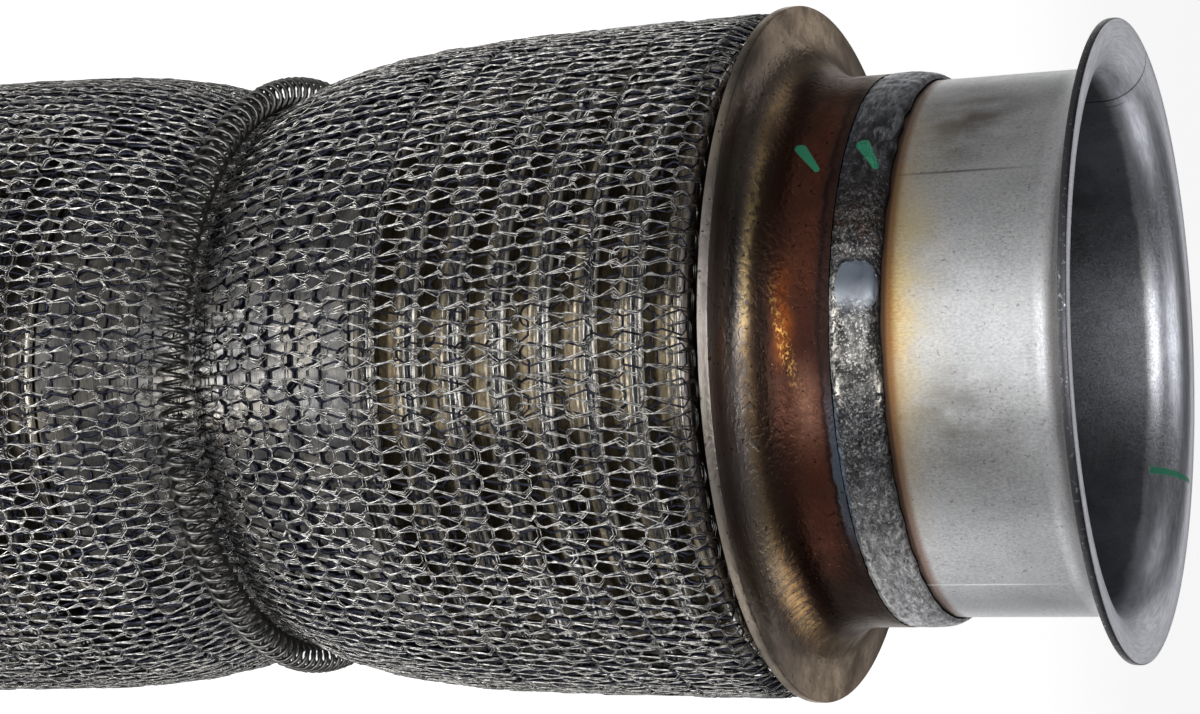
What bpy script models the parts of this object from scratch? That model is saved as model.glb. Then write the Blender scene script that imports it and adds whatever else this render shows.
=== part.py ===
"""Exhaust flex pipe for a heavy vehicle: two flared stub pipes joined by a double bellows in a knitted wire sleeve.

The pipe stands on its lower flare, with its axis on +Z and its origin in the middle of that flare's face.
Both ends are alike, so each end piece is drawn once, with Z measured from the middle of the pipe outwards,
and set twice on an empty at the pipe's middle: upper as drawn, lower turned end for end.
"""

import math

import bmesh
import bpy

MM = 0.001

# Stub pipe: welded tube whose outer end is rolled over into a flare with a flat lip
PIPE_OD = 101.6 * MM
PIPE_WALL = 1.5 * MM
FLARE_BEND = 6.5 * MM
FLARE_LIP = 2.3 * MM
FLARE_REACH = 60.1 * MM
STUB_TAIL = 4.0 * MM

# Collar: flat sheet ring drawn into a neck that slips over the stub pipe
COLLAR_SPAN = 220.8 * MM
COLLAR_LAND = 4.3 * MM
COLLAR_SHEET = 2.0 * MM
COLLAR_FILLET = 10.0 * MM
NECK_WALL = 1.6 * MM
NECK_REACH = 17.0 * MM

# Lap weld from the neck's end down to the stub pipe
WELD_WIDTH = 8.8 * MM
WELD_HEIGHT = 2.1 * MM

# Bellows: thin tube formed into convolutions, with a plain cuff at each end
CONVOLUTIONS = 8
CONVOLUTION_PITCH = 8.84 * MM
CONVOLUTION_HEIGHT = 10.3 * MM
BELLOWS_WALL = 0.35 * MM
BELLOWS_SETBACK = 2.7 * MM
STUB_CUFF = 6.6 * MM
TUBE_CUFF = 10.0 * MM

# Middle tube over the inner cuffs of both bellows, with a small weld at each end
TUBE_WALL = 1.5 * MM
TUBE_WELD_WIDTH = 1.9 * MM

# Flow liner: plain sleeve fixed in the stub pipe and free at its other end
LINER_WALL = 0.8 * MM
LINER_SEAT = 12.0 * MM
LINER_LENGTH = 98.0 * MM

# Knitted wire sleeve: drawn in at its waist, and tucked in behind the collars
SLEEVE_ROOM = 1.5 * MM
SLEEVE_WALL = 2.2 * MM
WAIST_WALL = 1.3 * MM
CREST_DRAW = 1.2 * MM
SHOULDER_RADIUS = 5.6 * MM
TUCK_ROOM = 0.8 * MM
TUCK_START = 255
TUCK_END = 232
KNIT_RIDGE = 0.5 * MM
WALES = 24
COURSES = 8

# Garter spring: a coil closed into a ring, which holds the sleeve's waist
SPRING_COIL_OD = 6.5 * MM
SPRING_WIRE = 0.9 * MM
SPRING_TURNS = 64
SPRING_STEPS = 5
SPRING_WIRE_SIDES = 3

# Gap kept between two pieces that touch on the real pipe
FIT = 0.3 * MM

# Sides of the turned pieces in view and of those under the sleeve, and steps in a bend
OUTER_SIDES = 32
INNER_SIDES = 20
BEND_STEPS = 3


def around(radius, sides):
    """Corner radius of a polygon whose flats stand on the circle, so that a bore keeps its room."""
    return radius / math.cos(math.pi / sides)


PIPE_RADIUS = PIPE_OD / 2
PIPE_BORE = PIPE_RADIUS - PIPE_WALL
COLLAR_FACE = COLLAR_SPAN / 2
COLLAR_BACK = COLLAR_FACE - COLLAR_SHEET
MIDDLE_HEIGHT = COLLAR_FACE + FLARE_REACH
STUB_END = COLLAR_FACE - STUB_TAIL
NECK_BORE = PIPE_RADIUS + FIT
NECK_RADIUS = NECK_BORE + NECK_WALL
NECK_END = COLLAR_FACE + NECK_REACH
FILLET_CENTRE = (NECK_RADIUS + COLLAR_FILLET, COLLAR_FACE + COLLAR_FILLET)
CUFF_BORE = around(PIPE_RADIUS + FIT, INNER_SIDES)
CUFF_RADIUS = CUFF_BORE + BELLOWS_WALL
CREST_RADIUS = CUFF_BORE + CONVOLUTION_HEIGHT
BELLOWS_TOP = COLLAR_FACE - BELLOWS_SETBACK
BELLOWS_FOOT = BELLOWS_TOP - CONVOLUTIONS * CONVOLUTION_PITCH
TUBE_BORE = CUFF_RADIUS + FIT
TUBE_RADIUS = TUBE_BORE + TUBE_WALL
TUBE_END = BELLOWS_FOOT - TUBE_WELD_WIDTH - 2 * FIT
LINER_RADIUS = PIPE_BORE * math.cos(math.pi / OUTER_SIDES) - FIT
SLEEVE_RADIUS = around(CREST_RADIUS + SLEEVE_ROOM, WALES) + SLEEVE_WALL
WAIST_RADIUS = around(TUBE_RADIUS + FIT, WALES) + WAIST_WALL
WAIST_SEAT = SPRING_COIL_OD / 2 + FIT
SPRING_RADIUS = WAIST_RADIUS + FIT + SPRING_COIL_OD / 2


def clear_scene():
    for thing in list(bpy.data.objects):
        bpy.data.objects.remove(thing, do_unlink=True)


def finish(name, colour, metallic, roughness):
    """A plain Principled material of this colour."""
    material = bpy.data.materials.new(name)
    material.use_nodes = True
    shader = material.node_tree.nodes["Principled BSDF"]
    shader.inputs["Base Color"].default_value = (*colour, 1.0)
    shader.inputs["Metallic"].default_value = metallic
    shader.inputs["Roughness"].default_value = roughness
    return material


def mesh_from(bm, name, material):
    """Ends the bmesh as a mesh with its faces out and its round sides shaded smooth."""
    bmesh.ops.recalc_face_normals(bm, faces=bm.faces)
    mesh = bpy.data.meshes.new(name)
    bm.to_mesh(mesh)
    bm.free()
    mesh.shade_smooth()
    mesh.set_sharp_from_angle(angle=math.radians(40))
    mesh.materials.append(material)
    return mesh


def place(name, mesh, middle, turned_over=False):
    """Sets a piece on the empty at the pipe's middle, as drawn or turned end for end."""
    piece = bpy.data.objects.new(name, mesh)
    piece.parent = middle
    piece.rotation_euler.x = math.pi if turned_over else 0.0
    bpy.context.scene.collection.objects.link(piece)


def place_at_both_ends(name, mesh, middle):
    place(name + "_upper", mesh, middle)
    place(name + "_lower", mesh, middle, turned_over=True)


def arc(centre, radii, start, stop, steps=BEND_STEPS):
    """Points (radius, height) on an elliptical arc, with its angles in degrees from straight outwards."""
    points = []
    for step in range(steps + 1):
        angle = math.radians(start + (stop - start) * step / steps)
        points.append((centre[0] + radii[0] * math.cos(angle), centre[1] + radii[1] * math.sin(angle)))
    return points


def turned(name, outline, sides, material):
    """A ring turned about the pipe's axis from a closed outline of (radius, height)."""
    bm = bmesh.new()
    corners = [bm.verts.new((radius, 0, height)) for radius, height in outline]
    for first, second in zip(corners, corners[1:] + corners[:1]):
        bm.edges.new((first, second))
    bmesh.ops.spin(
        bm,
        geom=bm.verts[:] + bm.edges[:],
        cent=(0, 0, 0),
        axis=(0, 0, 1),
        angle=2 * math.pi,
        steps=sides,
        use_merge=True,
    )
    return mesh_from(bm, name, material)


def stub_pipe_outline():
    """Straight tube, then a quarter bend out to a flat lip square to the axis."""
    lip_radius = PIPE_RADIUS + FLARE_BEND + FLARE_LIP
    mouth_bend = FLARE_BEND + PIPE_WALL
    centre = (PIPE_RADIUS + FLARE_BEND, MIDDLE_HEIGHT - mouth_bend)
    back = arc(centre, (FLARE_BEND, FLARE_BEND), 180, 90)
    mouth = arc(centre, (mouth_bend, mouth_bend), 90, 180)
    outside = [(PIPE_RADIUS, STUB_END), *back, (lip_radius, MIDDLE_HEIGHT - PIPE_WALL)]
    inside = [(lip_radius, MIDDLE_HEIGHT), *mouth, (PIPE_BORE, STUB_END)]
    return outside + inside


def collar_back_radii(room=0.0):
    """Radii of the bend on the collar's back, where the sheet thins towards the neck, plus some room."""
    return COLLAR_FILLET + NECK_WALL + room, COLLAR_FILLET + COLLAR_SHEET + room


def collar_outline():
    """Flat ring whose inner edge bends outwards along the pipe into the neck."""
    rim_radius = NECK_RADIUS + COLLAR_FILLET + COLLAR_LAND
    face = arc(FILLET_CENTRE, (COLLAR_FILLET, COLLAR_FILLET), 270, 180)
    back = arc(FILLET_CENTRE, collar_back_radii(), 180, 270)
    outside = [(rim_radius, COLLAR_FACE), *face, (NECK_RADIUS, NECK_END)]
    inside = [(NECK_BORE, NECK_END), *back, (rim_radius, COLLAR_BACK)]
    return outside + inside


def weld_bead_outline():
    """Low bead, highest near the neck's end face and running out on the pipe."""
    start = NECK_END + FIT
    crown = PIPE_RADIUS + WELD_HEIGHT
    shoulder = crown - 0.15 * WELD_HEIGHT
    crown_height = start + 0.25 * WELD_WIDTH
    return [(NECK_BORE, start), (shoulder, start), (crown, crown_height), (NECK_BORE, start + WELD_WIDTH)]


def bellows_outline():
    """Outer surface from the stub pipe's cuff over the convolutions to the tube's cuff, then the inner one back.

    The slanted flanks keep the wall's thickness, so each crest and root is deeper than the wall by their slope.
    """
    half_pitch = CONVOLUTION_PITCH / 2
    depth = BELLOWS_WALL * math.hypot(CONVOLUTION_HEIGHT, half_pitch) / half_pitch
    root_radius = CUFF_BORE + depth
    lean = (root_radius - CUFF_RADIUS) * half_pitch / (CREST_RADIUS - root_radius)
    outside = [(CUFF_RADIUS, BELLOWS_TOP + STUB_CUFF), (CUFF_RADIUS, BELLOWS_TOP + lean)]
    inside = [(CUFF_BORE, BELLOWS_TOP + STUB_CUFF), (CUFF_BORE, BELLOWS_TOP)]
    for convolution in range(CONVOLUTIONS):
        crest = BELLOWS_TOP - half_pitch - convolution * CONVOLUTION_PITCH
        outside += [(CREST_RADIUS, crest), (root_radius, crest - half_pitch)]
        inside += [(CREST_RADIUS - depth, crest), (CUFF_BORE, crest - half_pitch)]
    outside[-1] = (CUFF_RADIUS, BELLOWS_FOOT - lean)
    outside.append((CUFF_RADIUS, BELLOWS_FOOT - TUBE_CUFF))
    inside.append((CUFF_BORE, BELLOWS_FOOT - TUBE_CUFF))
    return outside + inside[::-1]


def tube_outline(bore, radius, foot, top):
    return [(bore, foot), (radius, foot), (radius, top), (bore, top)]


def tube_weld_outline():
    """Fillet between the middle tube's end face and the bellows' cuff."""
    start = TUBE_END + FIT
    return [(TUBE_BORE, start), (TUBE_RADIUS, start), (TUBE_BORE, start + TUBE_WELD_WIDTH)]


def flow_liner_outline():
    top = STUB_END + LINER_SEAT
    return tube_outline(LINER_RADIUS - LINER_WALL, LINER_RADIUS, top - LINER_LENGTH, top)


def waist_share(height):
    """How much of the waist's draw is left at this height: all on the spring's seat, then fading as e to the minus."""
    nearest_crest = BELLOWS_FOOT + CONVOLUTION_PITCH / 2
    full_draw = SLEEVE_RADIUS - WAIST_RADIUS
    fading_length = (nearest_crest - WAIST_SEAT) / math.log(full_draw / CREST_DRAW)
    return math.exp(-(height - WAIST_SEAT) / fading_length)


def sleeve_half():
    """Rings of the sleeve's upper half, from the waist to the tucked end: (outer radius, height), (inner ...)."""
    shoulder = COLLAR_BACK - FIT - SHOULDER_RADIUS
    rings = []
    for course in range(COURSES + 1):
        height = WAIST_SEAT + (shoulder - WAIST_SEAT) * course / COURSES
        radius = SLEEVE_RADIUS - (SLEEVE_RADIUS - WAIST_RADIUS) * waist_share(height)
        wall = SLEEVE_WALL - (SLEEVE_WALL - WAIST_WALL) * waist_share(height)
        rings.append(((radius, height), (radius - wall, height)))
    bend_centre = (rings[-1][0][0] - SHOULDER_RADIUS, shoulder)
    inner_bend = SHOULDER_RADIUS - SLEEVE_WALL
    outer_bend_point = arc(bend_centre, (SHOULDER_RADIUS, SHOULDER_RADIUS), 0, 45, 1)[1]
    inner_bend_point = arc(bend_centre, (inner_bend, inner_bend), 0, 45, 1)[1]
    rings.append((outer_bend_point, inner_bend_point))
    outer_tuck = arc(FILLET_CENTRE, collar_back_radii(TUCK_ROOM), TUCK_START, TUCK_END, 1)
    inner_tuck = arc(FILLET_CENTRE, collar_back_radii(TUCK_ROOM + SLEEVE_WALL), TUCK_START, TUCK_END, 1)
    rings += zip(outer_tuck, inner_tuck)
    return rings


def sleeve_corners(bm, point, ring, raise_by):
    """One ring of corners: every second ring is turned half a wale, so that the wales run in zigzags."""
    radius, height = point
    corners = []
    for wale in range(WALES):
        angle = 2 * math.pi * (wale + 0.5 * (ring % 2)) / WALES
        reach = radius + (raise_by if wale % 2 == 0 else 0.0)
        corners.append(bm.verts.new((reach * math.cos(angle), reach * math.sin(angle), height)))
    return corners


def mesh_sleeve(material):
    """One wall with a zigzag ridge along every second wale and a gap beside each ridge in turn."""
    bm = bmesh.new()
    half = sleeve_half()
    mirrored = [((outer[0], -outer[1]), (inner[0], -inner[1])) for outer, inner in half[::-1]]
    rings = mirrored + half
    plain = len(half) - COURSES
    outer_corners, inner_corners = [], []
    for ring, (outer, inner) in enumerate(rings):
        from_middle = abs(ring - len(half) + 0.5) - 0.5
        ridged = 0 < from_middle < COURSES
        outer_corners.append(sleeve_corners(bm, outer, ring, KNIT_RIDGE if ridged else 0.0))
        inner_corners.append(sleeve_corners(bm, inner, ring, 0.0))

    def cell(corners, ring, wale):
        """Corners of one cell of a skin, going round it from one end of its shorter diagonal."""
        low, high = corners[ring], corners[ring + 1]
        after = (wale + 1) % WALES
        if ring % 2 == 0:
            return [low[after], high[after], high[wale], low[wale]]
        return [low[wale], low[after], high[after], high[wale]]

    last = len(rings) - 1
    for ring in range(last):
        knitted = plain <= ring + 1 <= last - plain + 1 and ring + 1 != len(half)
        for wale in range(WALES):
            outer = cell(outer_corners, ring, wale)
            inner = cell(inner_corners, ring, wale)
            if knitted and (wale + 2 * (ring % 2)) % 4 == 0:
                for k in range(4):
                    bm.faces.new((outer[k], outer[k - 1], inner[k - 1], inner[k]))
            else:
                for skin in (outer, inner[::-1]):
                    start = 0 if skin is outer else 1
                    bm.faces.new((skin[start], skin[start + 1], skin[start + 2]))
                    bm.faces.new((skin[start], skin[start + 2], skin[start - 1]))
    for ring in (0, last):
        for wale in range(WALES):
            after = (wale + 1) % WALES
            low, high = outer_corners[ring], inner_corners[ring]
            bm.faces.new((low[wale], low[after], high[after], high[wale]))
    return mesh_from(bm, "mesh_sleeve", material)


def garter_spring(material):
    """A helix bent into a ring: the coil's angle turns SPRING_TURNS times while the ring goes round once."""
    bm = bmesh.new()
    coil_radius = (SPRING_COIL_OD - SPRING_WIRE) / 2
    count = SPRING_TURNS * SPRING_STEPS
    sections = []
    for step in range(count):
        ring_angle = 2 * math.pi * step / count
        coil_angle = math.pi + 2 * math.pi * step / SPRING_STEPS
        out = (math.cos(ring_angle), math.sin(ring_angle))
        along = 2 * math.pi * SPRING_RADIUS / SPRING_TURNS
        lean = math.atan2(along, 2 * math.pi * coil_radius)
        section = []
        for side in range(SPRING_WIRE_SIDES):
            wire_angle = 2 * math.pi * side / SPRING_WIRE_SIDES
            reach = coil_radius + SPRING_WIRE / 2 * math.cos(wire_angle)
            across = SPRING_WIRE / 2 * math.sin(wire_angle)
            swing = across * math.sin(lean)
            radius = SPRING_RADIUS + reach * math.cos(coil_angle) + swing * math.sin(coil_angle)
            height = reach * math.sin(coil_angle) - swing * math.cos(coil_angle)
            forward = across * math.cos(lean)
            x = radius * out[0] - forward * out[1]
            y = radius * out[1] + forward * out[0]
            section.append(bm.verts.new((x, y, height)))
        sections.append(section)
    for first, second in zip(sections, sections[1:] + sections[:1]):
        for side in range(SPRING_WIRE_SIDES):
            after = (side + 1) % SPRING_WIRE_SIDES
            bm.faces.new((first[side], first[after], second[after], second[side]))
    return mesh_from(bm, "garter_spring", material)


clear_scene()

satin_stainless = finish("satin_stainless_tube", (0.43, 0.42, 0.40), 1.0, 0.35)
tinted_stainless = finish("heat_tinted_stainless", (0.20, 0.13, 0.09), 1.0, 0.40)
weld_metal = finish("weld_metal", (0.12, 0.12, 0.12), 1.0, 0.55)
formed_stainless = finish("formed_stainless_strip", (0.50, 0.46, 0.38), 1.0, 0.25)
knitted_wire = finish("knitted_stainless_wire", (0.26, 0.25, 0.24), 1.0, 0.35)
spring_steel = finish("spring_steel", (0.10, 0.09, 0.08), 1.0, 0.35)

middle = bpy.data.objects.new("middle", None)
middle.location.z = MIDDLE_HEIGHT
bpy.context.scene.collection.objects.link(middle)

place_at_both_ends("stub_pipe", turned("stub_pipe", stub_pipe_outline(), OUTER_SIDES, satin_stainless), middle)
place_at_both_ends("collar", turned("collar", collar_outline(), OUTER_SIDES, tinted_stainless), middle)
place_at_both_ends("weld_bead", turned("weld_bead", weld_bead_outline(), OUTER_SIDES, weld_metal), middle)
place_at_both_ends("bellows", turned("bellows", bellows_outline(), INNER_SIDES, formed_stainless), middle)
place_at_both_ends("tube_weld", turned("tube_weld", tube_weld_outline(), INNER_SIDES, weld_metal), middle)
place_at_both_ends("flow_liner", turned("flow_liner", flow_liner_outline(), INNER_SIDES, satin_stainless), middle)

middle_tube_outline = tube_outline(TUBE_BORE, TUBE_RADIUS, -TUBE_END, TUBE_END)
place("middle_tube", turned("middle_tube", middle_tube_outline, INNER_SIDES, formed_stainless), middle)
place("mesh_sleeve", mesh_sleeve(knitted_wire), middle)
place("garter_spring", garter_spring(spring_steel), middle)
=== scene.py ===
"""Looks of the exhaust flex pipe: its fine surfaces and finishes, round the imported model.

Each surface is drawn with Z measured outwards from the pipe's middle, and both ends are alike.
"""

import math

import bpy
import numpy as np
from mathutils import Matrix, Vector


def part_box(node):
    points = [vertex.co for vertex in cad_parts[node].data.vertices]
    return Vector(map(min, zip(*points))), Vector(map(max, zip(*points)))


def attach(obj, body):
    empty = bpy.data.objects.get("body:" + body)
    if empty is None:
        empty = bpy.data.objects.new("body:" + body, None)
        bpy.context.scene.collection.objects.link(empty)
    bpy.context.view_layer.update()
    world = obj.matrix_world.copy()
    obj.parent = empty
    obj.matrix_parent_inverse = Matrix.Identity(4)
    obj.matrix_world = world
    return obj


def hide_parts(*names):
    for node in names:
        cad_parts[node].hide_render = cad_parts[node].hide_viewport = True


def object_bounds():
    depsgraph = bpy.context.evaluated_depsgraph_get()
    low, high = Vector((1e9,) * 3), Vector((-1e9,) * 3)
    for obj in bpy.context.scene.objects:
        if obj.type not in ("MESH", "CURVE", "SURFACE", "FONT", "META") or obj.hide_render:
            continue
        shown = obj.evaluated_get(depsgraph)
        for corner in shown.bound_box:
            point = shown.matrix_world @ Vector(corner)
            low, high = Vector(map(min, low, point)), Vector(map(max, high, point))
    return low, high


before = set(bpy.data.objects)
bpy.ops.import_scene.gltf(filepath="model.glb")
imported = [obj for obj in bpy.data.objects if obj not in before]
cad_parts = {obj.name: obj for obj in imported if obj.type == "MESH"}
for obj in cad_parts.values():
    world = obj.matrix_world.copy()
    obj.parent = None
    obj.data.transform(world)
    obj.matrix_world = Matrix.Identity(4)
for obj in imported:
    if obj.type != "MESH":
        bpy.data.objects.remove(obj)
cad_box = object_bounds()


# Stub pipes
# Seam-welded stainless tube in satin mill finish, whose outer end is rolled over into a flare.
# The weld beside it has left a dark edge, an amber line and a straw tint that fades along the tube.
MM = 0.001
MIDDLE = (cad_box[0].z + cad_box[1].z) / 2
SHEET = 2.0 * MM
COLLAR_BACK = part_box("collar_upper")[0].z - MIDDLE
COLLAR_FACE = COLLAR_BACK + SHEET
TUBE_WALL = 1.5 * MM
FLARE_BEND = 6.5 * MM
FLARE_LIP = 2.3 * MM
LIP_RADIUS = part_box("stub_pipe_upper")[1].x
PIPE_RADIUS = LIP_RADIUS - FLARE_LIP - FLARE_BEND
PIPE_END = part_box("stub_pipe_upper")[1].z - MIDDLE
PIPE_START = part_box("stub_pipe_upper")[0].z - MIDDLE
EDGE_ROUND = 0.25 * MM
TURNED_SIDES = 160
GREEN_PAINT = "177355"


def arc(centre, radius, start, stop, steps):
    """Points (radius, height) on a circle between two angles, in degrees from straight outwards."""
    angles = np.radians(np.linspace(start, stop, steps + 1))
    return np.stack([centre[0] + radius * np.cos(angles), centre[1] + radius * np.sin(angles)], axis=1)


def turned(outline, sides=TURNED_SIDES):
    """A point grid: each radius r and height h of the outline goes round as (r cos a, r sin a, h)."""
    angles = 2 * np.pi * np.arange(sides) / sides
    radius, height = outline[:, 0, None], outline[:, 1, None]
    return np.stack([radius * np.cos(angles), radius * np.sin(angles), height + 0 * angles], axis=2)


def piece(name, grid, finish, nodes, sharp=35):
    """A mesh with a quad between each four neighbours of grid[..., row, column], closed both ways.

    Rows run up the outside and columns anticlockwise, so that the faces point outwards.
    """
    tubes = grid.reshape(-1, *grid.shape[-3:])
    corner = np.arange(tubes[..., 0].size).reshape(tubes.shape[:3])
    beside = np.roll(corner, -1, axis=2)
    above = np.roll(corner, -1, axis=1)
    quads = np.stack([corner, beside, np.roll(beside, -1, axis=1), above], axis=-1)
    mesh = bpy.data.meshes.new(name)
    mesh.vertices.add(corner.size)
    mesh.vertices.foreach_set("co", tubes.astype(np.float32).ravel())
    mesh.loops.add(quads.size)
    mesh.loops.foreach_set("vertex_index", quads.astype(np.int32).ravel())
    mesh.polygons.add(corner.size)
    mesh.polygons.foreach_set("loop_start", np.arange(0, quads.size, 4, dtype=np.int32))
    mesh.update(calc_edges=True)
    mesh.shade_smooth()
    if sharp:
        mesh.set_sharp_from_angle(angle=math.radians(sharp))
    mesh.materials.append(finish)
    made = bpy.data.objects.new(name, mesh)
    bpy.context.scene.collection.objects.link(made)
    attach(made, "root")
    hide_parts(*nodes)


def at_both_ends(name, grid, finish, node):
    """The piece as drawn, above the pipe's middle, and again below it, turned end for end about X."""
    middle = np.array([0, 0, MIDDLE])
    piece(name + "_upper", grid + middle, finish, [node + "_upper"])
    piece(name + "_lower", grid * (1, -1, -1) + middle, finish, [node + "_lower"])


def linear(colour):
    """A six-digit sRGB hex colour as linear red, green and blue, with alpha 1."""
    parts = [int(colour[place : place + 2], 16) / 255 for place in (0, 2, 4)]
    return (*[part / 12.92 if part <= 0.04045 else ((part + 0.055) / 1.055) ** 2.4 for part in parts], 1.0)


def add(tree, kind, inputs=None, stops=None, **settings):
    """Adds a node with its settings. An input takes a number, a hex colour, a socket or a node's result."""
    made = tree.nodes.new("ShaderNode" + kind)
    for name, value in settings.items():
        setattr(made, name, value)
    for place, (position, colour) in enumerate(stops or []):
        if place > 1:
            made.color_ramp.elements.new(position)
        made.color_ramp.elements[place].position = position
        made.color_ramp.elements[place].color = linear(colour)
    for name, value in (inputs or {}).items():
        named = [socket for socket in made.inputs if name in (socket.name, socket.identifier)]
        usable = [socket for socket in named if socket.enabled]
        socket = made.inputs[name] if isinstance(name, int) else usable[0]
        if isinstance(value, bpy.types.Node):
            value = [result for result in value.outputs if result.enabled][0]
        if isinstance(value, bpy.types.NodeSocket):
            tree.links.new(value, socket)
        else:
            socket.default_value = linear(value) if isinstance(value, str) else value
    return made


def metal(name, roughness=None):
    """A metal's material, its node tree and its shader, which keeps the default IOR.

    A roughness is given where it is the same all over. Elsewhere it comes from a pattern.
    """
    material = bpy.data.materials.new(name)
    material.use_nodes = True
    tree = material.node_tree
    shader = tree.nodes["Principled BSDF"]
    shader.inputs["Metallic"].default_value = 1.0
    if roughness:
        shader.inputs["Roughness"].default_value = roughness
    return material, tree, shader


def place_on_pipe(tree):
    """Where a point lies: its spot, millimetres past the nearer collar's face, radius, degrees, and unrolled.

    Degrees run from -180 to 180. Unrolled is a vector of metres out along the pipe, round it, and in radius.
    """
    spot = add(tree, "TexCoord").outputs["Object"]
    split = add(tree, "SeparateXYZ", {"Vector": spot})
    from_middle = add(tree, "Math", {0: split.outputs["Z"], 1: MIDDLE}, operation="SUBTRACT")
    outwards = add(tree, "Math", {0: from_middle}, operation="ABSOLUTE")
    past_face = add(tree, "Math", {0: outwards, 1: 1 / MM, 2: -COLLAR_FACE / MM}, operation="MULTIPLY_ADD")
    flat = add(tree, "CombineXYZ", {"X": split.outputs["X"], "Y": split.outputs["Y"]})
    length = add(tree, "VectorMath", {0: flat}, operation="LENGTH").outputs["Value"]
    radius = add(tree, "Math", {0: length, 1: 1 / MM}, operation="MULTIPLY")
    turned_over = add(tree, "VectorMath", {0: spot, "Scale": -1.0}, operation="SCALE")
    back = add(tree, "SeparateXYZ", {"Vector": turned_over})
    turn = add(tree, "Math", {0: back.outputs["Y"], 1: back.outputs["X"]}, operation="ARCTAN2")
    degrees = add(tree, "Math", {0: turn}, operation="DEGREES")
    round_it = add(tree, "Math", {0: turn, 1: PIPE_RADIUS}, operation="MULTIPLY")
    unrolled = add(tree, "CombineXYZ", {"X": outwards, "Y": round_it, "Z": length})
    return spot, past_face, radius, degrees, unrolled


def cloud(spot, size, stretch=(1, 1, 1), detail=3.0, low=0.35, high=0.65):
    """Soft noise from 0 to 1 with blotches of this size in millimetres, stretched along each axis.

    Low and high are where it starts and is full: a high pair gives sparse spots, a close pair hard edges.
    """
    tree = spot.id_data
    scale = [1 / (size * MM * part) for part in stretch]
    there = add(tree, "Mapping", {"Vector": spot, "Scale": scale})
    noise = add(tree, "TexNoise", {"Vector": there, "Scale": 1.0, "Detail": detail})
    return add(tree, "MapRange", {"Value": noise, "From Min": low, "From Max": high})


def hump(value, centre, reach):
    """One at the centre, falling smoothly to nothing at this reach on both sides, also across 180 degrees."""
    tree = value.id_data
    away = add(tree, "Math", {0: value, 1: centre}, operation="SUBTRACT")
    wrapped = add(tree, "Math", {0: away, 1: 180.0, 2: -180.0}, operation="WRAP")
    apart = add(tree, "Math", {0: wrapped}, operation="ABSOLUTE")
    ends = {"Value": apart, "From Min": reach, "From Max": 0.0}
    return add(tree, "MapRange", ends, interpolation_type="SMOOTHSTEP")


def rising(value, start, stop):
    """Nothing before the start, one past the stop, and smooth between them."""
    ends = {"Value": value, "From Min": start, "From Max": stop}
    return add(value.id_data, "MapRange", ends, interpolation_type="SMOOTHSTEP")


def overlap(*masks):
    """How far several masks from 0 to 1 meet: their product."""
    met = masks[0]
    for mask in masks[1:]:
        met = add(met.id_data, "Math", {0: met, 1: mask}, operation="MULTIPLY")
    return met


def tinted(colour, shade, *masks, share=1.0):
    """The colour mixed with a shade where all the masks meet, up to a share."""
    factor = overlap(*masks, share)
    return add(factor.id_data, "Mix", {"Factor": factor, "A": colour, "B": shade}, data_type="RGBA")


def painted(shader, colour, roughness=None, dent=None, paint=None):
    """Joins a colour, a roughness and a bump to the shader, with green paint over the metal at a mask."""
    inputs = {"Base Color": colour, "Roughness": roughness, "Normal": dent}
    if paint is not None:
        inputs["Base Color"] = tinted(colour, GREEN_PAINT, paint, share=0.95)
        inputs["Metallic"] = add(paint.id_data, "Math", {0: 1.0, 1: paint}, operation="SUBTRACT")
    for name, value in inputs.items():
        if value is not None:
            result = [result for result in value.outputs if result.enabled][0]
            shader.id_data.links.new(result, shader.inputs[name])


def dab(across, around, start, stop, width):
    """A brush dab from start to stop, in millimetres on two measures of the surface.

    It is one up to half a width from the line between them, and the width tapers to half of itself.
    """
    tree = around.id_data
    run = Vector(stop) - Vector(start)
    here = add(tree, "CombineXYZ", {"X": across, "Y": around})
    here = add(tree, "VectorMath", {0: here, 1: (*start, 0)}, operation="SUBTRACT")
    course = run.normalized()
    forward = add(tree, "VectorMath", {0: here, 1: (*course, 0)}, operation="DOT_PRODUCT").outputs["Value"]
    aside = {0: here, 1: (-course.y, course.x, 0)}
    aside = add(tree, "VectorMath", aside, operation="DOT_PRODUCT").outputs["Value"]
    nearest = add(tree, "MapRange", {"Value": forward, "From Max": run.length, "To Max": run.length})
    beyond = add(tree, "Math", {0: forward, 1: nearest}, operation="SUBTRACT")
    off_line = add(tree, "CombineXYZ", {"X": beyond, "Y": aside})
    reach = add(tree, "VectorMath", {0: off_line}, operation="LENGTH")
    taper = {"Value": nearest, "From Max": run.length, "To Min": width / 2, "To Max": width / 4}
    half = add(tree, "MapRange", taper)
    away = add(tree, "Math", {0: reach.outputs["Value"], 1: half}, operation="DIVIDE")
    return rising(away, 1.1, 0.9)


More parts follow.
